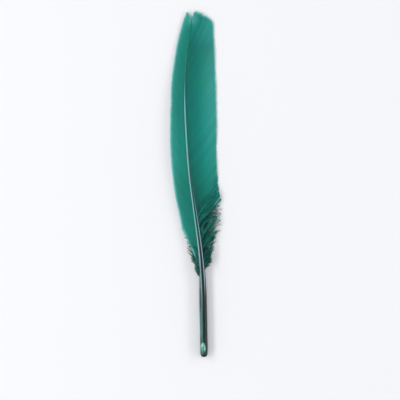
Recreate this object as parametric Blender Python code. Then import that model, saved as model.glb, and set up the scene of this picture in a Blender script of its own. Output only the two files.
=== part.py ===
"""A goose quill feather, lying on a table with its upper side up.

+X is to the side of the broad vane, +Y runs along the feather to its tip, and +Z is up.
The numbers in the tables below are millimetres; MM turns them into metres.
The origin ends up under the middle of the feather, on the table.
"""

import math

import bmesh
import bpy
from mathutils import Vector

MM = 0.001

# The shaft: (distance along the feather, sideways, height of its middle, width, depth)
SHAFT = [
    (4.0, 1.75, 1.62, 3.30, 3.30),
    (26.0, 1.30, 1.62, 3.30, 3.30),
    (34.0, 1.15, 1.72, 2.80, 3.00),
    (44.0, 0.40, 2.35, 2.35, 2.60),
    (54.0, -0.85, 3.10, 2.15, 2.35),
    (66.0, -2.60, 3.85, 1.80, 2.05),
    (78.0, -4.45, 4.35, 1.28, 1.55),
    (90.0, -5.65, 4.45, 1.02, 1.25),
    (103.0, -6.45, 4.05, 0.86, 1.02),
    (116.0, -6.75, 3.20, 0.68, 0.78),
    (129.0, -6.10, 2.20, 0.48, 0.54),
    (139.0, -4.85, 1.45, 0.34, 0.38),
    (146.4, -3.70, 1.00, 0.24, 0.26),
]
SHAFT_SIDES = 16
SHAFT_STEPS = 5  # rings from one row of the table to the next
ROUND_SHAPE, SQUARE_SHAPE = 2.0, 3.0  # a round quill turns into a squarer rachis
SQUARE_FROM, SQUARE_TO = 26.0, 60.0
END_RINGS = [(0.0, 0.52), (0.25, 0.74), (0.9, 0.91), (2.2, 0.98)]  # (along, share of the width)

# The vanes: (where a barb leaves the shaft, its end sideways, its end along, height of its end)
NARROW_VANE = [
    (39.2, -4.0, 46.4, 1.00),
    (43.4, -6.6, 51.9, 0.70),
    (49.6, -8.6, 60.0, 0.48),
    (57.0, -10.4, 67.8, 0.42),
    (65.0, -11.8, 77.2, 0.40),
    (75.0, -12.8, 87.4, 0.40),
    (85.0, -13.1, 97.8, 0.40),
    (95.5, -12.95, 108.3, 0.40),
    (106.0, -12.65, 118.7, 0.40),
    (117.0, -11.3, 129.1, 0.42),
    (126.5, -9.8, 137.8, 0.48),
    (135.0, -7.85, 144.8, 0.58),
    (140.5, -6.45, 148.2, 0.70),
    (143.4, -5.45, 150.0, 0.80),
    (145.9, -4.05, 147.7, 0.95),
]
WIDE_VANE = [
    (57.4, 9.1, 68.6, 0.62),
    (63.0, 7.9, 75.6, 0.42),
    (70.6, 7.3, 83.2, 0.40),
    (79.0, 7.2, 92.8, 0.40),
    (87.2, 7.35, 103.0, 0.40),
    (95.8, 7.2, 113.5, 0.40),
    (104.7, 6.75, 123.9, 0.40),
    (112.6, 6.5, 134.2, 0.42),
    (119.4, 5.75, 142.6, 0.46),
    (125.2, 4.1, 147.2, 0.55),
    (131.0, 1.9, 148.6, 0.66),
    (136.6, -0.5, 149.6, 0.76),
    (142.0, -2.4, 150.1, 0.86),
    (145.9, -3.4, 147.6, 0.95),
]
# The down below each vane, by the same four numbers
NARROW_DOWN = [
    (34.2, -1.7, 36.8, 0.75),
    (36.3, -2.8, 40.4, 0.85),
    (38.5, -3.8, 44.8, 0.90),
]
WIDE_DOWN = [
    (37.2, 3.1, 41.0, 0.80),
    (41.0, 4.1, 46.8, 0.80),
    (45.5, 5.7, 52.6, 0.80),
    (50.0, 7.3, 58.6, 0.80),
    (53.4, 8.5, 63.2, 0.80),
    (56.6, 9.2, 67.3, 0.75),
]
# Thickness is at the shaft, half way and at the edge.
VANE_THICKNESS = (0.45, 0.45, 0.40)
DOWN_THICKNESS = (0.90, 1.50, 0.75)
# A bend over 1 leaves the shaft level and turns down at the edge, and one under 1 does the opposite.
NARROW_BEND, WIDE_BEND, DOWN_BEND = 1.6, 0.68, 1.0
# How far the barbs swell from a straight line, as a share of their length. The short down is straight.
BARB_BOW = 0.07

GAP = 0.30  # between the shaft and what grows from it
ROOT_HEIGHT = 0.20  # a barb leaves the shaft this share of its depth above the shaft's middle
ROWS_BETWEEN = 3  # plate rows from one row of a table to the next
SPANS = 6  # plate faces from the shaft to the edge

HORN = ("horn", (0.020, 0.030, 0.035, 1.0), 0.22)
VANE = ("dyed vane", (0.022, 0.205, 0.165, 1.0), 0.50)
DOWN = ("dyed down", (0.008, 0.120, 0.085, 1.0), 0.75)


def smooth(table, column, at):
    """Reads one column of a table as a smooth curve over its first column."""
    keys = [row[0] for row in table]
    values = [row[column] for row in table]
    last = len(keys) - 1
    at = min(max(at, keys[0]), keys[last])
    i = min(sum(key <= at for key in keys), last) - 1
    slopes = [(values[k + 1] - values[k]) / (keys[k + 1] - keys[k]) for k in range(last)]

    def slope(k):
        if k in (0, last):
            return slopes[min(k, last - 1)]
        before, after = keys[k] - keys[k - 1], keys[k + 1] - keys[k]
        return (after * slopes[k - 1] + before * slopes[k]) / (before + after)

    step = keys[i + 1] - keys[i]
    t = (at - keys[i]) / step
    return (
        (1 + 2 * t) * (1 - t) ** 2 * values[i]
        + t * t * (3 - 2 * t) * values[i + 1]
        + t * (1 - t) ** 2 * step * slope(i)
        - t * t * (1 - t) * step * slope(i + 1)
    )


def between(low, high, at):
    """Turns from 0 to 1, smoothly, as a value goes from low to high."""
    t = min(max((at - low) / (high - low), 0.0), 1.0)
    return t * t * (3 - 2 * t)


def shaft_at(along):
    """The shaft's sideways place, height, width and depth at one distance."""
    return [smooth(SHAFT, column, along) for column in (1, 2, 3, 4)]


def shaft_ring(along, share=1.0):
    """One ring of points round the shaft; its lowest side is level."""
    side, height, width, depth = shaft_at(along)
    power = ROUND_SHAPE + (SQUARE_SHAPE - ROUND_SHAPE) * between(SQUARE_FROM, SQUARE_TO, along)
    points = []
    for k in range(SHAFT_SIDES):
        angle = 2 * math.pi * (k + 0.5) / SHAFT_SIDES
        c, s = math.cos(angle), math.sin(angle)
        x = math.copysign(abs(c) ** (2 / power), c) * share * width / 2
        z = math.copysign(abs(s) ** (2 / power), s) * share * depth / 2
        points.append(Vector((side + x, along, height + z)) * MM)
    return points


def make_material(name, colour, roughness):
    material = bpy.data.materials.new(name)
    material.use_nodes = True
    shader = material.node_tree.nodes["Principled BSDF"]
    shader.inputs["Base Color"].default_value = colour
    shader.inputs["Roughness"].default_value = roughness
    shader.inputs["Metallic"].default_value = 0.0
    return material


def make_object(name, bm, material):
    if bm.calc_volume(signed=True) < 0:
        bmesh.ops.reverse_faces(bm, faces=bm.faces)
    mesh = bpy.data.meshes.new(name)
    bm.to_mesh(mesh)
    bm.free()
    mesh.materials.append(material)
    mesh.shade_smooth()
    mesh.set_sharp_from_angle(angle=math.radians(50))
    made = bpy.data.objects.new(name, mesh)
    bpy.context.scene.collection.objects.link(made)
    return made


def join_rings(bm, rings):
    """Skins a closed body over a row of rings and closes both ends with strips."""
    loops = [[bm.verts.new(point) for point in ring] for ring in rings]
    for low, high in zip(loops, loops[1:]):
        for k in range(len(low)):
            n = (k + 1) % len(low)
            bm.faces.new((low[k], low[n], high[n], high[k]))
    for end in (loops[0][::-1], loops[-1]):
        for k in range(len(end) // 2 - 1):
            bm.faces.new((end[k], end[k + 1], end[-2 - k], end[-1 - k]))


def make_shaft():
    """The quill and the rachis, one length of horn from the rounded end to the fine tip."""
    rings = [shaft_ring(along, share) for along, share in END_RINGS]
    rings += [shaft_ring(SHAFT[0][0])]
    for low, high in zip(SHAFT[1:], SHAFT[2:]):
        for k in range(SHAFT_STEPS):
            rings.append(shaft_ring(low[0] + (high[0] - low[0]) * k / SHAFT_STEPS))
    rings.append(shaft_ring(SHAFT[-1][0]))
    bm = bmesh.new()
    join_rings(bm, rings)
    return make_object("quill_shaft", bm, make_material(*HORN))


def barb_line(row, side, bend, bow):
    """Points along one barb, from beside the shaft to the edge of the vane."""
    root, tip_side, tip_along, tip_height = row
    middle, height, width, depth = shaft_at(root)
    start = Vector((middle + side * (width / 2 + GAP), root))
    end = Vector((tip_side, tip_along))
    chord = end - start
    outward = Vector((chord.y, -chord.x)) * side
    swell = (start + end) / 2 + outward * 2 * bow
    top = height + ROOT_HEIGHT * depth
    points = []
    for k in range(SPANS + 1):
        t = k / SPANS
        flat = start * (1 - t) ** 2 + swell * 2 * t * (1 - t) + end * t * t
        points.append(Vector((flat.x, flat.y, top + (tip_height - top) * t**bend)))
    return points


def plate_ring(line, thickness):
    """The closed outline of a plate's section: over the top along a barb, and back below it."""
    root, half, edge = thickness
    under = []
    for k, point in enumerate(line):
        t = k / SPANS
        depth = root * (1 - t) * (1 - 2 * t) + half * 4 * t * (1 - t) + edge * t * (2 * t - 1)
        under.append(Vector((point.x, point.y, max(point.z - depth, 0.0))))
    return [point * MM for point in line + under[::-1]]


def make_plate(name, table, side, bend, bow, thickness, material):
    """A curved plate that holds the barbs of one side, row by row up the shaft."""
    numbered = [(k * ROWS_BETWEEN, *row) for k, row in enumerate(table)]
    rings = []
    for k in range(ROWS_BETWEEN * (len(table) - 1) + 1):
        row = [smooth(numbered, column, k) for column in (1, 2, 3, 4)]
        rings.append(plate_ring(barb_line(row, side, bend, bow), thickness))
    bm = bmesh.new()
    join_rings(bm, rings)
    return make_object(name, bm, make_material(*material))


def rest_on_origin(objects):
    """Moves every mesh so that the middle of the feather's box stands over the origin."""
    points = [vertex.co for made in objects for vertex in made.data.vertices]
    low = Vector(min(point[k] for point in points) for k in range(3))
    high = Vector(max(point[k] for point in points) for k in range(3))
    shift = Vector((-(low.x + high.x) / 2, -(low.y + high.y) / 2, -low.z))
    for made in objects:
        made.location = shift


def build():
    for old in list(bpy.data.objects):
        bpy.data.objects.remove(old, do_unlink=True)
    made = [
        make_shaft(),
        make_plate("narrow_vane", NARROW_VANE, -1, NARROW_BEND, BARB_BOW, VANE_THICKNESS, VANE),
        make_plate("wide_vane", WIDE_VANE, 1, WIDE_BEND, BARB_BOW, VANE_THICKNESS, VANE),
        make_plate("narrow_side_down", NARROW_DOWN, -1, DOWN_BEND, 0.0, DOWN_THICKNESS, DOWN),
        make_plate("wide_side_down", WIDE_DOWN, 1, DOWN_BEND, BARB_BOW, DOWN_THICKNESS, DOWN),
    ]
    rest_on_origin(made)


build()
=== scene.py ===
import math

import bpy
import numpy as np
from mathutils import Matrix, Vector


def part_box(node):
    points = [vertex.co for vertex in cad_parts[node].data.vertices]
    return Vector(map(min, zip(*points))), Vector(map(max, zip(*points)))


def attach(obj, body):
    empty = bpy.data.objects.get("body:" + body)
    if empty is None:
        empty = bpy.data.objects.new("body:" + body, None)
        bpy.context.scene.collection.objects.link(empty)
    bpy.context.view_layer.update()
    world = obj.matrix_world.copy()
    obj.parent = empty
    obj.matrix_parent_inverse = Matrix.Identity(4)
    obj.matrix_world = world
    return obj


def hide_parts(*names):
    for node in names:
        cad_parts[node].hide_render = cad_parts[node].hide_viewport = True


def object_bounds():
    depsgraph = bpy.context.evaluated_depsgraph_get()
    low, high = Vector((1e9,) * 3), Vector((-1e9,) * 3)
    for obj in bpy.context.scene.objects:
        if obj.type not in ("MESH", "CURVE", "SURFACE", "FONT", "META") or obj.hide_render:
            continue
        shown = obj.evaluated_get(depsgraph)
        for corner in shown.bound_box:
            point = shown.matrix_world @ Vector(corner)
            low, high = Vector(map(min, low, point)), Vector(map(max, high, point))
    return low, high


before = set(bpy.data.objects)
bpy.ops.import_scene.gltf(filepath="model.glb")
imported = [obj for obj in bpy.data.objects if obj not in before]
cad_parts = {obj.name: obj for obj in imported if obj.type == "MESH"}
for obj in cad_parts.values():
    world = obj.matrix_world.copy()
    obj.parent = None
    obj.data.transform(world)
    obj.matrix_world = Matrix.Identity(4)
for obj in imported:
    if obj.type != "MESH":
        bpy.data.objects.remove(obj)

# A dyed goose quill feather lying on a pale table, built barb by barb round its frame.
# Along the feather is Y, from the quill's end to the tip, and the broad vane is at +X.
# Lengths are in metres.

mm = 0.001
cadLow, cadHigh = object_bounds()
quillEnd = cadLow.y
featherLength = cadHigh.y - cadLow.y
rng = np.random.default_rng(11)


# Small helpers for curves and numbers

def ease(low, high, at):
    t = np.clip((at - low) / (high - low), 0.0, 1.0)
    return t * t * (3 - 2 * t)


def bell(middle, reach, at):
    return np.exp(-((at - middle) / reach) ** 2)


def readCurve(points, at):
    return np.interp(at, [p[0] for p in points], [p[1] for p in points])


def soften(values, reach):
    # a bell-shaped running mean, which keeps both ends where they are
    n = int(reach * 3)
    weights = np.exp(-0.5 * (np.arange(-n, n + 1) / reach) ** 2)
    before = 2 * values[0] - values[1:n + 1][::-1]
    after = 2 * values[-1] - values[-n - 1:-1][::-1]
    return np.convolve(np.concatenate([before, values, after]), weights / weights.sum(), "valid")


def waves(count, shortest, longest, at):
    # a smooth wandering line between about -1 and 1: a few sine waves with drawn lengths and phases
    total = np.zeros_like(at)
    for length, phase in zip(rng.uniform(shortest, longest, count), rng.uniform(0, 2 * math.pi, count)):
        total += np.sin(at / length * 2 * math.pi + phase)
    return total / math.sqrt(count)


def unit(vectors):
    return vectors / (np.linalg.norm(vectors, axis=-1, keepdims=True) + 1e-12)


# Reading the frame: where planes across or along the feather cut a node

def cutNode(name, axis, places):
    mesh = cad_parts[name].data
    points = np.array([v.co for v in mesh.vertices])
    pairs = np.array([e.vertices for e in mesh.edges])
    a, b = points[pairs[:, 0]], points[pairs[:, 1]]
    cuts = []
    for place in places:
        meets = (a[:, axis] - place) * (b[:, axis] - place) < 0
        p, q = a[meets], b[meets]
        cuts.append(p + (q - p) * ((place - p[:, axis]) / (q[:, axis] - p[:, axis]))[:, None])
    return cuts


# softReach and slopeRun count cuts, and facetShare is a faceted ring's width against its round one's
shaftReading = dict(step=0.25 * mm, inset=0.02 * mm, softReach=5, slopeRun=20, facetShare=0.981,
                    ownShape=(6 * mm, 10 * mm))


def readShaft():
    low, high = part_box("quill_shaft")
    inset = shaftReading["inset"]
    y = np.arange(low.y + inset, high.y - inset, shaftReading["step"])
    cuts = cutNode("quill_shaft", 1, y)
    left, right = (np.array([pick(c[:, 0]) for c in cuts]) for pick in (np.min, np.max))
    under, over = (np.array([pick(c[:, 2]) for c in cuts]) for pick in (np.min, np.max))
    reach, share = shaftReading["softReach"], shaftReading["facetShare"]
    softer = ease(*shaftReading["ownShape"], y - low.y)  # the rounded end keeps its own shape
    readings = dict(x=(left + right) / 2, z=(under + over) / 2,
                    width=(right - left) / share, depth=(over - under) / share)
    lines = {key: line * (1 - softer) + soften(line, reach) * softer for key, line in readings.items()}
    return {"y": y, **lines}


shaft = readShaft()
shaftTip = shaft["y"][-1]
runStart = -shaftReading["slopeRun"]
endTurn = (shaft["x"][-1] - shaft["x"][runStart]) / (shaft["y"][-1] - shaft["y"][runStart])


def shaftX(y):
    return np.interp(y, shaft["y"], shaft["x"]) + np.maximum(y - shaftTip, 0) * endTurn


def shaftAt(key, y):
    return np.interp(y, shaft["y"], shaft[key])


# the soft values count cuts, and ownTip is how much of the tip keeps its own shape
vaneReading = dict(step=0.1 * mm, inset=0.05 * mm, edge=0.15 * mm, ownTip=7 * mm,
                   softEdge=10, softHeight=12, softTop=2,
                   acrossStep=0.08 * mm, acrossInset=0.04 * mm, pastShaft=0.35 * mm)


def readOutline(name, side):
    # from above: the vane's outer edge and its height at each place along,
    # and its upper end at each place across
    reading = vaneReading
    low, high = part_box(name)
    y = np.arange(low.y + reading["inset"], high.y, reading["step"])
    cuts = cutNode(name, 1, y)
    x = np.array([(cut[:, 0] * side).max() * side for cut in cuts])
    edges = [cut[cut[:, 0] * side > place * side - reading["edge"]] for cut, place in zip(cuts, x)]
    z = np.array([edge[:, 2].max() for edge in edges])
    softer = ease(0.0, reading["ownTip"], high.y - y)
    # from past the shaft's own end, so that the line of the roots doesn't count as an upper end
    innerEnd = shaftX(shaftTip) + side * reading["pastShaft"]
    outerEnd = (low.x if side < 0 else high.x) - side * reading["acrossInset"]
    acrossX = np.arange(*sorted([innerEnd, outerEnd]), reading["acrossStep"])
    top = np.array([cut[:, 1].max() for cut in cutNode(name, 0, acrossX)])
    return dict(y=y, x=x * (1 - softer) + soften(x, reading["softEdge"]) * softer,
                z=soften(z, reading["softHeight"]), acrossX=acrossX, top=soften(top, reading["softTop"]))


print("frame read:", len(shaft["y"]), "cuts through the shaft")


# Meshes: many strands swept in one go, each a closed body

# how near the table a surface may come, and the middle line of each kind of strand
lowest = dict(surface=0.02 * mm, barbule=0.06 * mm, strand=0.12 * mm, barb=0.16 * mm)


def sweep(name, bundles):
    # bundles is a list of (paths, sections, marks): paths is (strand, step, 3), sections is
    # (strand, step, corner, 2), sideways and up from the path, and marks fit (strand, step, corner)
    points, faces, bakeMap, marks = [], [], [], {key: [] for key in bundles[0][2]}
    rowCount = sum(len(paths) for paths, sections, ownMarks in bundles)
    start = row = 0
    for paths, sections, ownMarks in bundles:
        count, steps, corners = sections.shape[:3]
        along = unit(np.gradient(paths, axis=1))
        across = unit(np.cross(along, (0, 0, 1.0)))
        up = np.cross(across, along)
        sideways = across[:, :, None] * sections[..., :1]
        body = paths[:, :, None] + sideways + up[:, :, None] * sections[..., 1:]
        body[..., 2] = np.maximum(body[..., 2], lowest["surface"])
        index = start + np.arange(count * steps * corners).reshape(count, steps, corners)
        beside = np.roll(index, -1, axis=2)
        quads = np.stack([index[:, :-1], index[:, 1:], beside[:, 1:], beside[:, :-1]], -1)
        points.append(body.reshape(-1, 3))
        faces += [quads.reshape(-1, 4), np.concatenate([index[:, 0], index[:, -1, ::-1]])]
        bakeMap += bandMap(count, steps, corners, row, rowCount)
        for key, values in ownMarks.items():
            marks[key].append(np.broadcast_to(values, (count, steps, corners)).ravel())
        start += count * steps * corners
        row += count
    return meshFrom(name, np.concatenate(points), faces, np.concatenate(bakeMap),
                    {key: np.concatenate(values) for key, values in marks.items()})


# fill and endSize are shares of a band's height
bakeBand = dict(start=0.01, length=0.96, fill=0.92, endPlace=0.985, endReach=0.004, endSize=0.4)


def bandMap(count, steps, corners, firstRow, rowCount):
    # each strand has its own narrow band of the bake map, with its two ends past the band's end
    s, c = np.meshgrid(np.arange(steps - 1), np.arange(corners), indexing="ij")
    u = bakeBand["start"] + bakeBand["length"] * np.stack([s, s + 1, s + 1, s], -1) / (steps - 1)
    v = bakeBand["fill"] / rowCount * np.stack([c, c, c + 1, c + 1], -1) / corners
    band = (firstRow + np.arange(count)) / rowCount
    shape = (count,) + u.shape
    sides = np.stack([np.broadcast_to(u, shape), np.broadcast_to(v, shape) + band[:, None, None, None]], -1)
    turn = 2 * math.pi * np.arange(corners) / corners
    endU = bakeBand["endPlace"] + bakeBand["endReach"] * np.cos(turn)
    endV = np.tile(band, 2)[:, None] + bakeBand["endSize"] / rowCount * (1 + np.sin(turn))
    ends = np.stack([np.broadcast_to(endU, (2 * count, corners)), endV], -1)
    return [sides.reshape(-1, 2), ends.reshape(-1, 2)]


def meshFrom(name, points, faceGroups, bakeMap, marks):
    mesh = bpy.data.meshes.new(name)
    corners = np.concatenate([group.ravel() for group in faceGroups])
    sizes = np.concatenate([np.full(len(group), group.shape[1]) for group in faceGroups])
    mesh.vertices.add(len(points))
    mesh.vertices.foreach_set("co", points.astype(np.float32).ravel())
    mesh.loops.add(len(corners))
    mesh.loops.foreach_set("vertex_index", corners.astype(np.int32))
    mesh.polygons.add(len(sizes))
    mesh.polygons.foreach_set("loop_start", (np.cumsum(sizes) - sizes).astype(np.int32))
    mesh.update(calc_edges=True)
    mesh.uv_layers.new(name="OFBake").uv.foreach_set("vector", bakeMap.astype(np.float32).ravel())
    for key, values in marks.items():
        mesh.attributes.new(key, "FLOAT", "POINT").data.foreach_set("value", values.astype(np.float32))
    mesh.shade_smooth()
    mesh.validate()
    piece = bpy.data.objects.new(name, mesh)
    bpy.context.scene.collection.objects.link(piece)
    return piece


def setInPlace(piece, material, node):
    piece.data.materials.append(material)
    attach(piece, "root")
    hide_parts(node)


# Materials: a small kit for node trees

def newMaterial(name, roughness, ior=1.5, gloss=0.5):
    material = bpy.data.materials.new(name)
    material.use_nodes = True
    shader = material.node_tree.nodes["Principled BSDF"]
    shader.inputs["Roughness"].default_value = roughness
    shader.inputs["IOR"].default_value = ior
    shader.inputs["Specular IOR Level"].default_value = gloss
    return material, material.node_tree, shader


def addNode(tree, kind, inputs=None, **settings):
    node = tree.nodes.new(kind)
    for key, value in settings.items():
        setattr(node, key, value)
    for key, value in (inputs or {}).items():
        if isinstance(value, bpy.types.NodeSocket):
            tree.links.new(value, node.inputs[key])
        else:
            node.inputs[key].default_value = value
    return node


def mark(tree, name):
    return addNode(tree, "ShaderNodeAttribute", attribute_name=name).outputs["Fac"]


def plus(tree, first, second):
    return addNode(tree, "ShaderNodeMath", {0: first, 1: second}, operation="ADD").outputs[0]


def times(tree, first, second):
    return addNode(tree, "ShaderNodeMath", {0: first, 1: second}, operation="MULTIPLY").outputs[0]


def blendColours(tree, factor, first, second, kind="MIX"):
    node = addNode(tree, "ShaderNodeMix", data_type="RGBA", blend_type=kind)
    for socket, value in ((node.inputs[0], factor), (node.inputs[6], first), (node.inputs[7], second)):
        if isinstance(value, bpy.types.NodeSocket):
            tree.links.new(value, socket)
        else:
            socket.default_value = value if isinstance(value, float) else (*value, 1.0)
    return node.outputs[2]


def scaled(tree, colour, amount):
    channels = {"Red": amount, "Green": amount, "Blue": amount}
    grey = addNode(tree, "ShaderNodeCombineColor", channels).outputs[0]
    return blendColours(tree, 1.0, colour, grey, "MULTIPLY")


def ramp(tree, value, fromLow, fromHigh, toLow=0.0, toHigh=1.0):
    return addNode(tree, "ShaderNodeMapRange", {
        "Value": value, "From Min": fromLow, "From Max": fromHigh, "To Min": toLow, "To Max": toHigh},
        interpolation_type="SMOOTHSTEP").outputs[0]


def fade(tree, value, fromLow, fromHigh):
    return ramp(tree, value, fromLow, fromHigh, 1.0, 0.0)


def noise(tree, place, scale, detail=3.0, rough=0.55):
    return addNode(tree, "ShaderNodeTexNoise", {
        "Vector": place, "Scale": scale, "Detail": detail, "Roughness": rough}).outputs["Fac"]


def stretched(tree, source, scale):
    return addNode(tree, "ShaderNodeMapping", {"Vector": source, "Scale": scale}).outputs[0]


def ownPlace(tree):
    return addNode(tree, "ShaderNodeTexCoord").outputs["Object"]


def addBump(tree, shader, height, strength, distance):
    bump = addNode(tree, "ShaderNodeBump", {"Height": height, "Strength": strength, "Distance": distance})
    tree.links.new(bump.outputs[0], shader.inputs["Normal"])


# The vanes

# patches, specks and ribs are noise scales: the higher, the finer
# toneRange: the barbs' own shades that get the first and the last of toneLight and toneRough
# the darkest colour is painted shade beside the shaft; the palest, for the rim, is pale barb ends with a
# painted highlight
vaneColour = dict(
    shaftShade=(0.004, 0.142, 0.110), blue=(0.006, 0.238, 0.220), green=(0.004, 0.255, 0.172),
    plain=(0.006, 0.255, 0.205), pale=(0.060, 0.410, 0.355), paleRimAndGlint=(0.270, 0.760, 0.720),
    roughness=0.55, gloss=0.16, sheen=0.12, sheenTint=(0.15, 0.85, 0.75), sheenRoughness=0.35,
    patches=95.0, specks=210.0, ribs=9000.0, ribStrength=0.2, ribHeight=0.02 * mm,
    toneRange=(-1.5, 1.5), toneLight=(0.93, 1.07), toneRough=(0.62, 0.48))


def makeVaneMaterial():
    look = vaneColour
    material, tree, shader = newMaterial("dyedVane", look["roughness"], gloss=look["gloss"])
    place = ownPlace(tree)
    tone = mark(tree, "tone")
    # the dye took unevenly: broad patches a little bluer or greener
    patches = noise(tree, stretched(tree, place, (1.0, 0.45, 1.0)), look["patches"], 2.0)
    dye = blendColours(tree, ramp(tree, patches, 0.38, 0.66), look["green"], look["blue"])
    specks = ramp(tree, noise(tree, place, look["specks"]), 0.3, 0.7, 0.2, 0.8)
    dye = blendColours(tree, specks, dye, look["plain"])
    # painted shade beside the shaft, where the shaft's shadow falls
    shade = blendColours(tree, mark(tree, "shaftShade"), dye, look["shaftShade"])
    shade = blendColours(tree, mark(tree, "pale"), shade, look["pale"])
    light = ramp(tree, tone, *look["toneRange"], *look["toneLight"])
    # painted light and shade along the feather (depth), with the barbs' own tones
    shade = scaled(tree, shade, times(tree, light, mark(tree, "depth")))
    # the rim: the barbs' paler ends with a painted highlight along the edge
    shade = blendColours(tree, mark(tree, "paleRimAndGlint"), shade, look["paleRimAndGlint"])
    tree.links.new(shade, shader.inputs["Base Color"])
    tree.links.new(ramp(tree, tone, *look["toneRange"], *look["toneRough"]), shader.inputs["Roughness"])
    shader.inputs["Sheen Weight"].default_value = look["sheen"]
    shader.inputs["Sheen Tint"].default_value = (*look["sheenTint"], 1.0)
    shader.inputs["Sheen Roughness"].default_value = look["sheenRoughness"]
    # the fine ribs of the barbules
    ribs = noise(tree, stretched(tree, place, (1.0, 1.0, 0.3)), look["ribs"], 1.0)
    addBump(tree, shader, ribs, look["ribStrength"], look["ribHeight"])
    return material


# lean: how far the barbs lean out from the shaft's line, in degrees, from the first barb to the last
# splits: (place of the gap at the edge from the quill's end, share of the barb still joined, gap, reach)
# the rim's strength, pale: how bright the edge is, where pale barb ends carry a painted highlight, and how
# light the outer half, from the first barb to the last
# depth: painted light and shade along the feather, from the quill's end to the tip; and how dark the
# painted shade of the shaft makes the barbs beside it
# shoulder: how much longer the barbs are that end near a place; loose: the unhooked barbs at the base
# bend: above 1, the barbs rise or fall most near the edge; curl: how much more they lean near the shaft
# jitter, ragged: how uneven the barbs' ends are, all along and near the tip
narrowVane = dict(
    node="narrow_vane", side=-1, barbs=350, steps=24, bend=1.6, curl=0.20, widest=0.36 * mm,
    lean=[(0, 27), (0.05, 32), (0.17, 35), (0.33, 32.5), (0.43, 29.5), (0.53, 26), (0.62, 23.5),
          (0.73, 18.5), (0.81, 15), (0.9, 11.5), (0.97, 5), (1, 0)],
    splits=[(110.6 * mm, 0.45, 0.75 * mm, 1.6 * mm), (62.5 * mm, 0.72, 0.35 * mm, 1.4 * mm)],
    paleRimAndGlint=0.58 * mm, paleRimAndGlintStrength=[(0, 0.85), (0.7, 1.0), (0.86, 0.90), (0.95, 0.25), (1, 0.2)],
    pale=[(0, 0.35), (0.5, 0.50), (0.9, 0.5), (0.97, 0.9), (1, 1.0)], shaftShade=0.12,
    depth=[(0.30, 0.60), (0.34, 0.78), (0.37, 0.87), (0.48, 0.82), (0.57, 1.0), (0.65, 0.98),
           (0.72, 0.88), (0.91, 0.89), (1, 1)],
    jitter=0.10 * mm, ragged=0.30 * mm, shoulder=dict(place=144.5 * mm, reach=2.6 * mm, extra=0.0),
    loose=dict(share=0.10, joined=0.45, droop=0.9 * mm))
wideVane = dict(
    node="wide_vane", side=1, barbs=312, steps=29, bend=0.68, curl=0.20, widest=0.42 * mm,
    lean=[(0, 39.5), (0.25, 38), (0.5, 34), (0.62, 30.5), (0.76, 24.5), (0.89, 18.5), (0.95, 12), (1, 1)],
    splits=[(91.0 * mm, 0.72, 0.35 * mm, 1.8 * mm), (131.5 * mm, 0.65, 0.25 * mm, 1.5 * mm),
            (149.3 * mm, 0.70, 0.50 * mm, 0.9 * mm)],
    paleRimAndGlint=0.42 * mm, paleRimAndGlintStrength=[(0, 0.05), (0.25, 0.25), (0.45, 0.75), (0.7, 0.80), (0.85, 0.60), (1, 0.5)],
    pale=[(0, 0.10), (0.2, 0.35), (0.45, 0.75), (0.6, 0.8), (0.75, 0.45), (0.86, 0.15), (0.95, 0.4),
          (1, 0.8)],
    depth=[(0.40, 0.70), (0.44, 0.76), (0.48, 0.82), (0.51, 0.92), (0.57, 1.04), (0.65, 1.07), (0.72, 1.0),
           (0.79, 0.93), (0.86, 0.82), (0.90, 0.74), (0.935, 0.90), (1, 1.0)],
    shaftShade=0.75, jitter=0.12 * mm, ragged=0.40 * mm,
    shoulder=dict(place=144.5 * mm, reach=2.6 * mm, extra=1.3 * mm),
    loose=dict(share=0.20, joined=0.25, droop=2.4 * mm))

# what both vanes' barbs share
# rootAt, rootUp: where they leave the shaft, in shares of its width and depth from its middle line
# crowding: above 1, the steps are closer towards the edge; nearTip: how near the tip the barbs turn ragged
barbHabits = dict(
    rootAt=0.38, rootUp=0.20, lastRoot=0.3 * mm, leanDrift=0.008, stride=0.06 * mm, longest=34 * mm,
    shortest=0.6 * mm, crowding=1.3, nearTip=(5 * mm, 1 * mm), tipExtra=0.35 * mm, splitDrawIn=0.25,
    swing=dict(steady=0.8, byLock=0.35, own=0.10), outward=0.15, lift=0.30,
    lockHeight=0.022 * mm, ripple=0.06 * mm, sharpAngle=75)

# overlap: how far a barb reaches towards each neighbour, in shares of the gap between their middle lines
# slim, slimShare: how much narrower the loose barbs are, and how many of them
# closing: where, past the shaft's tip, the two vanes part; point: the share of a barb that narrows
barbShape = dict(
    overlap=0.62, slim=0.30, slimShare=0.8, closing=(1.2 * mm, 2.6 * mm), point=0.02, pointWidth=0.35,
    keel=0.26 * mm, keelTaper=0.8, tipKeel=0.05 * mm, ridge=0.012 * mm)


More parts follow.
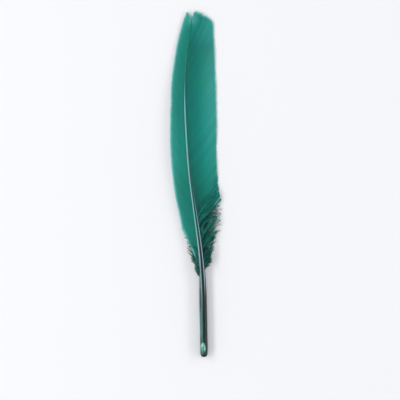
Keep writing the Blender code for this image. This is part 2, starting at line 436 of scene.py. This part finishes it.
def traceBarbs(vane, outline):
    # walks each barb out from the shaft past the vane's edge, then lays its steps along the part inside
    habits, side, count = barbHabits, vane["side"], vane["barbs"]
    root = np.linspace(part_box(vane["node"])[0].y, shaftTip - habits["lastRoot"], count)
    share = np.linspace(0, 1, count)
    drift = 1 + habits["leanDrift"] * waves(5, 0.05, 0.2, share)
    lean = np.radians(readCurve(vane["lean"], share)) * drift
    spot = np.stack([shaftX(root) + side * shaftAt("width", root) * habits["rootAt"], root], 1)
    trail, stride = [spot], habits["stride"]
    inside, length = np.ones(count, bool), np.zeros(count)
    for step in range(int(habits["longest"] / stride)):
        edgeX = np.interp(spot[:, 1], outline["y"], outline["x"])
        top = np.interp(spot[:, 0], outline["acrossX"], outline["top"])
        line = shaftX(spot[:, 1])
        out = np.clip((spot[:, 0] - line) / (edgeX - line), 0, 1)
        turn = lean * (1 + vane["curl"] * (1 - 2 * out))
        inside &= (side * (edgeX - spot[:, 0]) > 0) & (spot[:, 1] < top)
        spot = spot + stride * np.stack([side * np.sin(turn), np.cos(turn)], 1)
        length += inside * stride
        trail.append(spot)
    trail = np.array(trail).transpose(1, 0, 2)
    endY = trail[np.arange(count), (length / stride).astype(int), 1]
    nearTip = ease(*habits["nearTip"], cadHigh.y - endY)
    shoulder = vane["shoulder"]
    length += shoulder["extra"] * bell(shoulder["place"], shoulder["reach"], endY - quillEnd)
    length += rng.normal(0, 1, count) * vane["jitter"] + 0.5 * vane["jitter"] * waves(7, 0.02, 0.08, share)
    length += nearTip * (vane["ragged"] * waves(6, 0.006, 0.03, share) + habits["tipExtra"])
    t = 1 - np.linspace(1, 0, vane["steps"]) ** habits["crowding"]
    at = np.minimum(np.maximum(length, habits["shortest"])[:, None] * t / stride, trail.shape[1] - 2)
    low, own = at.astype(int), np.arange(count)[:, None]
    paths = trail[own, low] + (trail[own, low + 1] - trail[own, low]) * (at - low)[..., None]
    return paths, root, share, t


def partBarbs(vane, paths, t):
    # opens the splits: the barbs on each side of one draw apart towards the edge, and in a little
    tipY = paths[:, -1, 1].copy()
    for place, joined, gap, reach in vane["splits"]:
        away = tipY - (quillEnd + place)
        push = np.sign(away) * 0.5 * gap * np.exp(-np.abs(away) / reach)
        paths[:, :, 1] += push[:, None] * ease(joined, 1.0, t)[None, :]
        drawIn = vane["side"] * barbHabits["splitDrawIn"] * gap
        paths[:, :, 0] -= drawIn * bell(0, reach, away)[:, None] * t[None, :] ** 6


def loosenBarbs(vane, paths, share, t):
    # the lowest barbs have come unhooked: they part in small locks, and droop outwards
    loose, swing = vane["loose"], barbHabits["swing"]
    free = 1 - ease(0.0, loose["share"], share)
    swung = swing["steady"] + swing["byLock"] * waves(5, 0.012, 0.04, share)
    swung += swing["own"] * rng.normal(0, 1, len(share))
    droop = loose["droop"] * (free * swung)[:, None] * ease(loose["joined"], 1.15, t)[None, :]
    paths[:, :, 0] += vane["side"] * barbHabits["outward"] * droop
    paths[:, :, 1] -= droop
    return free, droop


def vaneHeights(vane, outline, paths, root, share, t, clump):
    # each barb rises or falls from the shaft to the vane's edge, and the locks lie a little unevenly
    rootZ = shaftAt("z", root) + barbHabits["rootUp"] * shaftAt("depth", root)
    edgeZ = np.interp(paths[:, -1, 1], outline["y"], outline["z"])
    z = rootZ[:, None] + (edgeZ - rootZ)[:, None] * t[None, :] ** vane["bend"]
    z += barbHabits["lockHeight"] * clump[:, None] * np.sin(math.pi * t)[None, :] ** 0.7
    z += barbHabits["ripple"] * waves(4, 0.05, 0.16, share)[:, None] * (t ** 2)[None, :]
    return z


def barbSections(vane, paths, t, free):
    # a roof-shaped strip for each barb, with a keel below,
    # reaching a little past half way to both neighbours
    shape = barbShape
    tangent = unit(np.gradient(paths, axis=1))
    between = np.diff(paths, axis=0)
    middle = (tangent[1:] + tangent[:-1]) / 2
    apart = np.linalg.norm(between - middle * np.sum(between * middle, 2, keepdims=True), axis=2)
    slimmed = rng.uniform(0, 1, len(free)) < shape["slimShare"]
    widest = vane["widest"] * (1 - shape["slim"] * free * slimmed)
    before = shape["overlap"] * np.minimum(np.concatenate([apart[:1], apart]), widest[:, None])
    after = shape["overlap"] * np.minimum(np.concatenate([apart, apart[-1:]]), widest[:, None])
    # the last barb reaches in to the shaft's line, which closes the two vanes together up to the notch
    gap = vane["side"] * (paths[-1, :, 0] - shaftX(paths[-1, :, 1]))
    after[-1] = np.maximum(after[-1], gap * (1 - ease(*shape["closing"], paths[-1, :, 1] - shaftTip)))
    right, left = (after, before) if vane["side"] < 0 else (before, after)
    taper = np.clip((1 - t) / shape["point"], shape["pointWidth"], 1)[None, :]
    right, left = right * taper, left * taper
    keel = shape["keel"] * (1 - t) ** shape["keelTaper"] + shape["tipKeel"]
    keel = keel[None, :] * np.ones_like(right)
    high = shape["ridge"] * np.ones_like(right)
    # the keel, the right edge and slope, the ridge, and the left slope and edge
    corners = [(0 * right, -keel), (right, -0.6 * high), (0.35 * right, 0.9 * high),
               (0 * right, 1.6 * high), (-0.35 * left, 0.9 * high), (-left, -1.4 * high)]
    return np.stack([np.stack(corner, -1) for corner in corners], 2)


def fromBorder(paths):
    # how far each place is from the vane's border: the barbs' ends, and the first and the last barb
    border = np.concatenate([paths[:, -1, :2], paths[0, :, :2], paths[-1, :, :2]])
    return np.linalg.norm(paths[:, :, None, :2] - border, axis=-1).min(axis=2)


# painted light and shade along the feather, read from a vane's or a tuft's depth curve
def paintedShadingAlong(settings, paths):
    return readCurve(settings["depth"], (paths[..., 1] - quillEnd) / featherLength)[..., None]


# where the rim and the pale start along a barb, where the shaft's painted shade ends along it, and where
# that shade fades along the vane
vaneMarks = dict(
    paleRimAndGlintFrom=(0.0, 0.35), paleFrom=(0.30, 1.0), edgeReach=1.3 * mm, edgePale=0.5,
    notchUp=1 * mm, notchReach=2.8 * mm, notchPale=0.9, shaftShadeTo=0.62, shaftShadeFades=(0.70, 0.96),
    toneByLock=0.6, toneByBarb=0.35, toneByStep=0.2)


def markVane(vane, paths, share, t, clump):
    # what the material reads; the rim is a bright line along the edge: the barbs' paler ends with a painted
    # highlight where light catches the edge
    marks = vaneMarks
    away = fromBorder(paths)
    strength = readCurve(vane["paleRimAndGlintStrength"], share)[:, None] * ease(*marks["paleRimAndGlintFrom"], t)[None, :]
    paleRimAndGlint = strength * bell(0, vane["paleRimAndGlint"], away)
    pale = readCurve(vane["pale"], share)[:, None] * ease(*marks["paleFrom"], t)[None, :]
    # a paler band beside the rim, where its painted highlight fades out
    pale = np.maximum(pale, marks["edgePale"] * strength * bell(0, marks["edgeReach"], away))
    fromNotch = np.hypot(paths[..., 0] - shaftX(shaftTip), paths[..., 1] - shaftTip - marks["notchUp"])
    pale = np.maximum(pale, marks["notchPale"] * bell(0, marks["notchReach"], fromNotch))
    # painted shade beside the shaft, where the shaft's shadow falls, strongest near the barbs' roots
    shaftShade = (vane["shaftShade"] * (1 - ease(0.0, marks["shaftShadeTo"], t)))[None, :, None]
    shaftShade = shaftShade * (1 - ease(*marks["shaftShadeFades"], share))[:, None, None]
    tone = clump * marks["toneByLock"] + rng.normal(0, marks["toneByBarb"], len(share))
    ownTone = marks["toneByStep"] * rng.normal(0, 1, (len(share), len(t)))
    return dict(shaftShade=shaftShade, pale=np.clip(pale, 0, 1)[..., None], paleRimAndGlint=np.clip(paleRimAndGlint, 0, 1)[..., None],
                depth=paintedShadingAlong(vane, paths), tone=tone[:, None, None] + ownTone[..., None])


def makeVane(vane, material):
    outline = readOutline(vane["node"], vane["side"])
    paths, root, share, t = traceBarbs(vane, outline)
    partBarbs(vane, paths, t)
    free, droop = loosenBarbs(vane, paths, share, t)
    # how the barbs gather in locks, fine and broad
    clump = waves(9, 0.006, 0.03, share) * 0.5 + waves(6, 0.03, 0.12, share) * 0.6
    z = vaneHeights(vane, outline, paths, root, share, t, clump)
    z += barbHabits["lift"] * droop * rng.normal(0, 1, len(share))[:, None]
    paths = np.concatenate([paths, np.maximum(z, lowest["barb"])[..., None]], 2)
    sections = barbSections(vane, paths, t, free)
    marks = markVane(vane, paths, share, t, clump)
    piece = sweep(vane["node"] + "_barbs", [(paths, sections, marks)])
    piece.data.set_sharp_from_angle(angle=math.radians(barbHabits["sharpAngle"]))
    setInPlace(piece, material, vane["node"])
    print("vane built:", piece.name, len(root), "barbs")


# The down: limp strands in curling locks, fuzzy with barbules

# mottle and ribs are noise scales: the higher, the finer
downColour = dict(
    dark=(0.003, 0.100, 0.077), light=(0.024, 0.310, 0.245), roughness=0.7, gloss=0.15,
    sheen=0.15, sheenTint=(0.15, 0.85, 0.65),
    mottle=400.0, ribs=6000.0, ribStrength=0.3, ribHeight=0.02 * mm)


def makeDownMaterial():
    look = downColour
    material, tree, shader = newMaterial("dyedDown", look["roughness"], gloss=look["gloss"])
    place = ownPlace(tree)
    mottle = noise(tree, place, look["mottle"], 2.0)
    towardsEnd = ramp(tree, mark(tree, "along"), 0.2, 1.0, 0.0, 0.35)
    shade = blendColours(tree, towardsEnd, look["dark"], look["light"])
    byTone = ramp(tree, mark(tree, "tone"), -0.5, 2.4, 0.0, 0.95)
    shade = blendColours(tree, byTone, shade, look["light"])
    shade = blendColours(tree, ramp(tree, mottle, 0.35, 0.7, 0.45, 0.0), shade, look["dark"])
    # painted shade, darker towards the tuft's base
    shade = scaled(tree, shade, mark(tree, "depth"))
    tree.links.new(shade, shader.inputs["Base Color"])
    shader.inputs["Sheen Weight"].default_value = look["sheen"]
    shader.inputs["Sheen Tint"].default_value = (*look["sheenTint"], 1.0)
    addBump(tree, shader, noise(tree, place, look["ribs"], 1.0), look["ribStrength"], look["ribHeight"])
    return material


# lean and length are read along the tuft, from its lowest root to its highest; curl is in radians
# onTop: the share of the locks that lie over the others; depth: painted shade along the feather, darker
# towards the tuft's base
narrowDown = dict(
    node="narrow_side_down", side=-1, strands=46, locks=11, steps=22, rootLow=34.2 * mm, rootHigh=47.5 * mm,
    lean=[(0, 26), (0.5, 30), (1, 34)], length=[(0, 3.4 * mm), (0.4, 6.8 * mm), (1, 8.0 * mm)],
    curl=0.5, barbules=90, hair=0.9 * mm, onTop=0.3,
    depth=[(0.24, 0.60), (0.31, 0.70), (0.36, 1.0)])
wideDown = dict(
    node="wide_side_down", side=1, strands=114, locks=25, steps=22, rootLow=36.6 * mm, rootHigh=61.0 * mm,
    lean=[(0, 26), (0.5, 37), (1, 42)],
    length=[(0, 4.6 * mm), (0.4, 9.6 * mm), (0.8, 12.5 * mm), (1, 11.0 * mm)],
    curl=1.0, barbules=104, hair=1.3 * mm, onTop=0.28,
    depth=[(0.26, 0.50), (0.31, 0.62), (0.36, 1.0)])

# how much the strands differ, where drawn: (middle, spread between the locks, spread within a lock)
# the top values are what a lock that lies on top has more of; tips, lifts and half widths are in mm
strandHabits = dict(
    lean=(0, 5, 4), length=(0.92, 0.10, 0.10), lengthRange=(0.5, 1.18), curlSpread=(0.45, 0.35),
    curlRange=(-0.4, 2.6), straight=0.1, curlGrowth=1.5, curlStart=0.4,
    sway=(0, 0.16, 0.08), swayRate=6, flutter=(0, 0.05, 0.06), flutterRate=15, phase=(0, 2.0, 0.4),
    rootAt=0.42, rootUp=(-0.35, 0.05), topRoot=0.3, tipHeight=(0.8, 0.40, 0.25), topTip=1.1,
    tipRange=(0.2, 3.0), lift=(0.0, 0.25, 0.2), topLift=0.4, tone=(0, 0.35, 0.25), topTone=1.9,
    half=(0.07, 0.13), flat=0.4, thinning=0.80, thinFrom=(0.15, 0.95), corners=5)
barbuleHabits = dict(
    along=(0.16, 0.99), length=(0.5, 1.25), rootLength=1.15, shortening=0.55, spread=(0.35, 0.85), steps=3,
    outCurve=0.8, rise=0.25, half=0.034 * mm, flat=0.5, thinning=0.7, moreTone=0.15, corners=3)


def ringSection(half, halfUp, corners):
    # a closed section of the given half width and half height at each step
    angle = 2 * math.pi * (np.arange(corners) + 0.5) / corners
    return np.stack([half[..., None] * np.cos(angle), halfUp[..., None] * np.sin(angle)], -1)


def traceDown(down):
    habits, side, count = strandHabits, down["side"], down["strands"]
    share = (np.arange(count) + rng.uniform(0, 1, count)) / count
    lock = (share * down["locks"]).astype(int)

    def drawn(middle, forLock, own):
        return middle + rng.normal(0, forLock, down["locks"])[lock] + rng.normal(0, own, count)

    root = quillEnd + down["rootLow"] + (down["rootHigh"] - down["rootLow"]) * share
    lean = np.radians(readCurve(down["lean"], share) + drawn(*habits["lean"]))
    length = readCurve(down["length"], share) * np.clip(drawn(*habits["length"]), *habits["lengthRange"])
    curl = np.clip(drawn(down["curl"], *habits["curlSpread"]), *habits["curlRange"])
    # a curled strand is longer than it reaches
    halfCurl = np.maximum(curl / 2, habits["straight"])
    length *= halfCurl / np.sin(halfCurl)
    t = np.linspace(0, 1, down["steps"])
    sway, flutter = drawn(*habits["sway"]), drawn(*habits["flutter"])
    phase = drawn(*habits["phase"])
    turn = lean[:, None] + curl[:, None] * (t ** habits["curlGrowth"] - habits["curlStart"])
    waver = sway[:, None] * np.sin(habits["swayRate"] * t + phase[:, None])
    turn += waver + flutter[:, None] * np.sin(habits["flutterRate"] * t + 2 * phase[:, None])
    step = length[:, None] / (len(t) - 1)
    start = shaftX(root) + side * shaftAt("width", root) * habits["rootAt"]
    x = start[:, None] + side * np.cumsum(np.sin(turn) * step, 1)
    y = root[:, None] + np.cumsum(np.cos(turn) * step, 1)
    # some locks lie on top of the others, and are lighter
    onTop = (rng.uniform(0, 1, down["locks"]) < down["onTop"])[lock]
    rootUp = rng.uniform(*habits["rootUp"], count) + habits["topRoot"] * onTop
    rootZ = shaftAt("z", root) + shaftAt("depth", root) * rootUp
    tipZ = np.clip(drawn(*habits["tipHeight"]) + habits["topTip"] * onTop, *habits["tipRange"]) * mm
    lift = (drawn(*habits["lift"]) + habits["topLift"] * onTop) * mm
    z = rootZ[:, None] + (tipZ - rootZ)[:, None] * t + lift[:, None] * np.sin(math.pi * t)
    tone = drawn(*habits["tone"]) + habits["topTone"] * onTop
    return np.stack([x, y, np.maximum(z, lowest["strand"])], 2), t, tone


def fluff(down, paths, t):
    # fine barbules on both sides of each strand, lying close along it
    habits, count, perSide = barbuleHabits, len(paths), down["barbules"] // 2
    strand = np.repeat(np.arange(count), perSide * 2)
    at = rng.uniform(*habits["along"], len(strand))
    sideways = np.tile([1.0, -1.0], count * perSide)
    place = at * (len(t) - 1)
    low = np.minimum(place.astype(int), len(t) - 2)
    start = paths[strand, low] + (paths[strand, low + 1] - paths[strand, low]) * (place - low)[:, None]
    along = unit(paths[strand, low + 1] - paths[strand, low])
    across = np.cross(along, (0, 0, 1.0))
    length = down["hair"] * rng.uniform(*habits["length"], len(strand))
    length = length * (habits["rootLength"] - habits["shortening"] * at)
    steps = np.linspace(0, 1, habits["steps"])
    spread = rng.uniform(*habits["spread"], len(strand))
    hairs = start[:, None] + along[:, None] * (length[:, None] * steps)[..., None]
    out = (steps ** habits["outCurve"])[None, :, None]
    hairs += across[:, None] * (sideways * spread * length)[:, None, None] * out
    hairs[..., 2] += (rng.normal(0, habits["rise"], len(strand)) * length)[:, None] * steps
    hairs[..., 2] = np.maximum(hairs[..., 2], lowest["barbule"])
    return hairs, at, strand, steps


def makeDown(down, material):
    paths, t, tone = traceDown(down)
    count, thinFrom = len(paths), strandHabits["thinFrom"]
    half = rng.uniform(*strandHabits["half"], count)[:, None] * mm
    half = half * (1 - strandHabits["thinning"] * ease(*thinFrom, t))[None, :]
    halfUp = strandHabits["flat"] * half + 0.01 * mm  # a little thickness is kept at the tips
    strandMarks = dict(along=t[None, :, None], tone=tone[:, None, None], depth=paintedShadingAlong(down, paths))
    hairs, at, strand, steps = fluff(down, paths, t)
    thin = barbuleHabits["half"] * np.ones((len(hairs), 1))
    thin = thin * (1 - barbuleHabits["thinning"] * steps)[None, :]
    hairTone = tone[strand] + barbuleHabits["moreTone"]
    hairMarks = dict(along=at[:, None, None], tone=hairTone[:, None, None], depth=paintedShadingAlong(down, hairs))
    strandSections = ringSection(half, halfUp, strandHabits["corners"])
    hairSections = ringSection(thin, barbuleHabits["flat"] * thin, barbuleHabits["corners"])
    piece = sweep(down["node"] + "_strands", [
        (paths, strandSections, strandMarks), (hairs, hairSections, hairMarks)])
    setInPlace(piece, material, down["node"])
    print("down built:", piece.name, count, "strands and", len(hairs), "barbules")


# The shaft: one length of horn, round at the quill, squarer and grooved beneath where it carries the vanes

# pastEnd: how far it runs on past the frame's shaft, narrowing to endShare of its width
# endRings: where the first rings lie, in mm from the quill's end; the powers are those of a superellipse
# pitRings: (share of the pit's radius, share of its depth), from the rim inwards
quillShaft = dict(
    sides=36, endRings=(0, 0.08, 0.2, 0.4, 0.7, 1.1, 1.6, 2.2, 3.0), evenFrom=3.4 * mm, step=0.4 * mm,
    pastEnd=1.3 * mm, endShare=0.45, squareFrom=26 * mm, squareTo=60 * mm, roundPower=2.0, squarePower=2.9,
    groove=0.22, grooveWidth=0.42, grooveFrom=40 * mm, grooveRun=14 * mm,
    swell=0.010, swellLengths=(6 * mm, 22 * mm), swellFrom=(2 * mm, 8 * mm), sharpAngle=60,
    pit=0.42 * mm, pitDepth=0.7 * mm, pitRings=((0.95, 0.0), (0.8, 0.25), (0.45, 0.8), (0.05, 1.0)))

# striae and flecks are noise scales: the higher, the finer
hornColour = dict(
    horn=(0.003, 0.007, 0.010), rachis=(0.018, 0.055, 0.058), tip=(0.012, 0.205, 0.165),
    # the two line colours are painted highlights along the rachis's shoulders, pale teal higher up and
    # grey-lilac low down
    line=(0.172, 0.500, 0.475), lowHighlight=(0.330, 0.440, 0.480), dye=(0.012, 0.130, 0.095),
    # the two film colours are the quill's dye film with a broad painted highlight in it, thinner towards
    # the vanes
    filmHighlight=(0.056, 0.188, 0.180), thinFilmHighlight=(0.022, 0.080, 0.084), green=(0.060, 0.340, 0.210),
    teal=(0.015, 0.150, 0.140), mint=(0.280, 0.620, 0.500), roughness=0.2, ior=1.54, gloss=0.30,
    striae=45.0, flecks=900.0, bumpStrength=0.15, bumpHeight=0.02 * mm)

# where the marks start and end: along the shaft from the quill's end (0) to the tip (1)
hornAlong = dict(
    rachis=(0.22, 0.42), tip=(0.72, 0.86), filmHighlightStarts=(0.03, 0.07), filmHighlightEnds=(0.20, 0.30),
    filmHighlightThins=(0.115, 0.155), highlightColour=(0.24, 0.42), leftFaint=(0.10, 0.20), leftFull=(0.235, 0.315),
    leftEnds=(0.71, 0.86), leftWidens=(0.40, 0.68), leftStraightens=(0.15, 0.24), rightStarts=(0.16, 0.25),
    rightEnds=(0.36, 0.50), flecksEnd=(0.02, 0.26), clearGreen=(0.012, 0.026), polished=(0.12, 0.28))
# and across it from its right side (0) to its left (1)
hornAcross = dict(
    filmHighlight=(0.50, 0.72), leftInner=(0.60, 0.74), leftOuter=(0.80, 0.97), rightOuter=(0.08, 0.17),
    rightInner=(0.24, 0.34), flecks=(0.2, 0.8))
# how far the left painted highlight's two edges move, in shares of the width, and how strong the painted
# highlights are
shoulderHighlightShape = dict(widensIn=0.62, widensOut=0.27, lowInner=0.12, lowOuter=0.22, outerLeast=0.05,
                    faint=0.60, rightMost=0.9, rightLeast=0.1)
# the clear wall near the rounded end, and its two pale spots: (middle, reach) along, then across
# uneven: how much its border wanders; wander: the noise scale of that
clearWall = dict(
    whole=((0.0255, 0.0205), (0.62, 0.41)), leftSpot=((0.0365, 0.009), (0.73, 0.22)),
    lowSpot=((0.027, 0.012), (0.41, 0.11)), uneven=0.12, wander=900.0)


def ovalMark(tree, far, leftSide, uneven, alongShaft, acrossShaft):
    # full in its inner part, and gone at its reach
    parts = []
    for value, (middle, reach) in ((far, alongShaft), (leftSide, acrossShaft)):
        scaledAway = {0: value, 1: 1 / reach, 2: -middle / reach}
        away = addNode(tree, "ShaderNodeMath", scaledAway, operation="MULTIPLY_ADD").outputs[0]
        parts.append(times(tree, away, away))
    return fade(tree, plus(tree, plus(tree, *parts), uneven), 0.30, 1.0)


def paintShoulderHighlights(tree, far, leftSide):
    # painted highlights along both shoulders of the rachis: a long line on the left, a shorter one on the
    # right
    lines, along, across = shoulderHighlightShape, hornAlong, hornAcross
    # towards the tip the left line takes most of the width, and towards the quill it runs nearer the middle
    wider = ramp(tree, far, *along["leftWidens"], 0.0, lines["widensIn"])
    lower = fade(tree, far, *along["leftStraightens"])
    inner = plus(tree, wider, times(tree, lower, lines["lowInner"]))
    outer = plus(tree, times(tree, wider, lines["widensOut"]), times(tree, lower, lines["lowOuter"]))
    inner = ramp(tree, plus(tree, leftSide, inner), *across["leftInner"])
    outer = ramp(tree, plus(tree, leftSide, outer), *across["leftOuter"], 1.0, lines["outerLeast"])
    faint = ramp(tree, far, *along["leftFaint"], 0.0, lines["faint"])
    strength = plus(tree, faint, ramp(tree, far, *along["leftFull"], 0.0, 1 - lines["faint"]))
    strength = times(tree, strength, fade(tree, far, *along["leftEnds"]))
    leftHighlight = times(tree, times(tree, inner, outer), strength)
    outer, inner = ramp(tree, leftSide, *across["rightOuter"]), fade(tree, leftSide, *across["rightInner"])
    starts = ramp(tree, far, *along["rightStarts"])
    ends = ramp(tree, far, *along["rightEnds"], lines["rightMost"], lines["rightLeast"])
    return leftHighlight, times(tree, times(tree, outer, inner), times(tree, starts, ends))


def makeShaftMaterial():
    look, along, across = hornColour, hornAlong, hornAcross
    material, tree, shader = newMaterial("glossyHorn", look["roughness"], look["ior"], look["gloss"])
    place = ownPlace(tree)
    far, leftSide = mark(tree, "far"), mark(tree, "leftSide")
    striae = noise(tree, stretched(tree, place, (60.0, 1.0, 60.0)), look["striae"], 3.0)
    shade = blendColours(tree, ramp(tree, far, *along["rachis"]), look["horn"], look["rachis"])
    shade = blendColours(tree, ramp(tree, striae, 0.40, 0.75, 0.0, 0.2), shade, look["dye"])
    # a thin film of dye on the quill, with a broad painted highlight on its lit left side, thinner towards
    # the vanes
    quill = times(tree, ramp(tree, far, *along["filmHighlightStarts"]), fade(tree, far, *along["filmHighlightEnds"]))
    filmHighlight = times(tree, ramp(tree, leftSide, *across["filmHighlight"]), quill)
    filmHighlight = times(tree, filmHighlight, ramp(tree, striae, 0.30, 0.60, 0.55, 1.0))
    filmHighlightColour = blendColours(tree, ramp(tree, far, *along["filmHighlightThins"]), look["filmHighlight"], look["thinFilmHighlight"])
    shade = blendColours(tree, filmHighlight, shade, filmHighlightColour)
    # the painted highlights' colour, grey-lilac low on the rachis and pale teal higher up
    line = blendColours(tree, ramp(tree, far, *along["highlightColour"]), look["lowHighlight"], look["line"])
    for shoulder in paintShoulderHighlights(tree, far, leftSide):
        shade = blendColours(tree, shoulder, shade, line)
    shade = blendColours(tree, ramp(tree, far, *along["tip"]), shade, look["tip"])
    # flecks of sheath on the quill
    flecks = noise(tree, stretched(tree, place, (1.0, 0.3, 1.0)), look["flecks"], 4.0, 0.7)
    flecks = times(tree, ramp(tree, flecks, 0.55, 0.64), fade(tree, far, *along["flecksEnd"]))
    flecks = times(tree, flecks, ramp(tree, leftSide, *across["flecks"]))
    shade = blendColours(tree, flecks, shade, look["dye"])
    # the clear wall: an uneven oval, with pale spots where the wall is seen edge on
    most, wander = clearWall["uneven"], noise(tree, place, clearWall["wander"], 3.0)
    uneven = ramp(tree, wander, 0.3, 0.7, -most, most)
    clear = blendColours(tree, ramp(tree, far, *along["clearGreen"]), look["teal"], look["green"])
    for name in ("leftSpot", "lowSpot"):
        oval = ovalMark(tree, far, leftSide, uneven, *clearWall[name])
        clear = blendColours(tree, oval, clear, look["mint"])
    window = ovalMark(tree, far, leftSide, uneven, *clearWall["whole"])
    shade = blendColours(tree, window, shade, clear)
    tree.links.new(shade, shader.inputs["Base Color"])
    polish = ramp(tree, far, *along["polished"], 0.21, 0.15)
    rough = plus(tree, polish, ramp(tree, striae, 0.3, 0.7, -0.03, 0.05))
    tree.links.new(rough, shader.inputs["Roughness"])
    addBump(tree, shader, striae, look["bumpStrength"], look["bumpHeight"])
    return material


def shaftRings():
    look = quillShaft
    near = np.array(look["endRings"]) * mm  # closer rings round the quill's end
    whole = shaftTip + look["pastEnd"] - quillEnd
    y = shaft["y"][0] + np.concatenate([near, np.arange(look["evenFrom"], whole, look["step"])])
    x, (z, width, depth) = shaftX(y), (shaftAt(key, y) for key in ("z", "width", "depth"))
    taper = 1 - (1 - look["endShare"]) * np.clip((y - shaftTip) / look["pastEnd"], 0, 1)
    width, depth, gone = width * taper, depth * taper, y - quillEnd
    square = ease(look["squareFrom"], look["squareTo"], gone)
    power = (look["roundPower"] + (look["squarePower"] - look["roundPower"]) * square)[:, None]
    angle = 2 * math.pi * (np.arange(look["sides"]) + 0.5) / look["sides"]
    c, s = np.cos(angle), np.sin(angle)
    ringX = np.sign(c) * np.abs(c) ** (2 / power) * width[:, None] / 2
    ringZ = np.sign(s) * np.abs(s) ** (2 / power) * depth[:, None] / 2
    # a groove along the underside of the rachis
    grooved = ease(look["grooveFrom"], look["grooveFrom"] + look["grooveRun"], gone)
    beneath = bell(1.5 * math.pi, look["grooveWidth"], angle)
    ringZ += look["groove"] * (depth * grooved)[:, None] * beneath[None, :]
    # the width swells and narrows a very little along the shaft
    swell = 1 + look["swell"] * waves(5, *look["swellLengths"], gone) * ease(*look["swellFrom"], gone)
    rings = np.stack([x[:, None] + ringX * swell[:, None], np.repeat(y[:, None], look["sides"], 1),
                      z[:, None] + ringZ * swell[:, None]], 2)
    rings[..., 2] = np.maximum(rings[..., 2], 0.0)
    return np.concatenate([quillPit(rings[0]), rings])


def quillPit(firstRing):
    # the small pit in the quill's end, where the growing feather was fed
    middle = firstRing.mean(0)
    spokes = firstRing - middle
    spokes *= quillShaft["pit"] / np.linalg.norm(spokes, axis=1).mean()
    rings = [middle + spokes * share + np.array([0, inward * quillShaft["pitDepth"], 0])
             for share, inward in quillShaft["pitRings"]]
    return np.array(rings[::-1])


def makeShaft(material):
    points = shaftRings()
    rings, sides = points.shape[:2]
    index = np.arange(rings * sides).reshape(rings, sides)
    beside = np.roll(index, -1, axis=1)
    quads = np.stack([index[:-1], index[1:], beside[1:], beside[:-1]], -1).reshape(-1, 4)
    r, c = np.meshgrid(np.arange(rings - 1), np.arange(sides), indexing="ij")
    u, v = np.stack([c, c, c + 1, c + 1], -1) / sides, np.stack([r, r + 1, r + 1, r], -1) / rings
    endCorner = np.full((2 * sides, 2), 0.998)  # the two small ends share a corner of the bake map
    bakeMap = np.concatenate([np.stack([u, v], -1).reshape(-1, 2), endCorner])
    far = np.repeat((points[:, :, 1].mean(1) - quillEnd) / featherLength, sides)
    out = points[..., 0] - points[..., 0].mean(1, keepdims=True)
    leftSide = 0.5 - 0.5 * out / np.abs(out).max(1, keepdims=True)
    ends = np.stack([index[0], index[-1][::-1]])
    piece = meshFrom("quill_shaft_horn", points.reshape(-1, 3), [quads, ends], bakeMap,
                     dict(far=far, leftSide=leftSide.ravel()))
    piece.data.set_sharp_from_angle(angle=math.radians(quillShaft["sharpAngle"]))
    setInPlace(piece, material, "quill_shaft")
    print("shaft built:", rings, "rings")


makeShaft(makeShaftMaterial())
vaneMaterial = makeVaneMaterial()
makeVane(narrowVane, vaneMaterial)
makeVane(wideVane, vaneMaterial)
downMaterial = makeDownMaterial()
makeDown(narrowDown, downMaterial)
makeDown(wideDown, downMaterial)


# The table, the light and the camera

table = dict(size=2.4, colour=(0.95, 0.95, 0.955), roughness=0.85, gloss=0.2)
lights = dict(
    left=dict(place=(-0.80, 0.0, 0.62), long=1.6, wide=0.26, power=5.75, colour=(1.0, 0.99, 0.98)),
    right=dict(place=(0.92, 0.0, 0.46), long=1.6, wide=0.24, power=3.6, colour=(0.98, 0.99, 1.0)),
    surround=(0.95, 0.96, 1.0), overhead=0.60, horizon=1.02, dimsOver=(0.10, 0.60))
# view: the width that is seen at the feather; view, right and down are in lengths of the feather
camera = dict(view=1.158, right=0.013, down=0.0453, lens=100.0, nearest=0.01, farthest=10.0)


def makeTable():
    bpy.ops.mesh.primitive_plane_add(size=table["size"], location=(0, 0, 0))
    plane = bpy.context.object
    plane.name = "table_top"
    material, tree, shader = newMaterial("paleTable", table["roughness"], gloss=table["gloss"])
    shader.inputs["Base Color"].default_value = (*table["colour"], 1.0)
    plane.data.materials.append(material)


def makeLight(name, place, long, wide, power, colour):
    data = bpy.data.lights.new(name, "AREA")
    data.shape, data.size, data.size_y = "RECTANGLE", wide, long
    data.energy, data.color = power, colour
    lamp = bpy.data.objects.new(name, data)
    lamp.location = place
    lamp.rotation_euler = (0, math.atan2(place[0], place[2]), 0)  # the long side lies along the feather
    bpy.context.scene.collection.objects.link(lamp)


def makeWorld():
    # pale all round and dimmer overhead, like a room with white walls
    world = bpy.data.worlds.new("studio")
    world.use_nodes = True
    tree = world.node_tree
    around = addNode(tree, "ShaderNodeTexCoord").outputs["Generated"]
    up = addNode(tree, "ShaderNodeSeparateXYZ", {0: around}).outputs["Z"]
    background = tree.nodes["Background"]
    background.inputs[0].default_value = (*lights["surround"], 1.0)
    strength = ramp(tree, up, *lights["dimsOver"], lights["horizon"], lights["overhead"])
    tree.links.new(strength, background.inputs[1])
    bpy.context.scene.world = world


def makeCamera():
    data = bpy.data.cameras.new("camera")
    data.lens = camera["lens"]
    data.clip_start, data.clip_end = camera["nearest"], camera["farthest"]
    holder = bpy.data.objects.new("camera", data)
    middle = (cadLow + cadHigh) / 2
    distance = camera["view"] * featherLength * camera["lens"] / data.sensor_width
    x, y = middle.x + camera["right"] * featherLength, middle.y - camera["down"] * featherLength
    holder.location = (x, y, middle.z + distance)
    bpy.context.scene.collection.objects.link(holder)
    bpy.context.scene.camera = holder


makeTable()
makeLight("leftSoftbox", **lights["left"])
makeLight("rightSoftbox", **lights["right"])
makeWorld()
makeCamera()
bpy.context.scene.view_settings.view_transform = "Standard"
print("table, lights and camera placed")
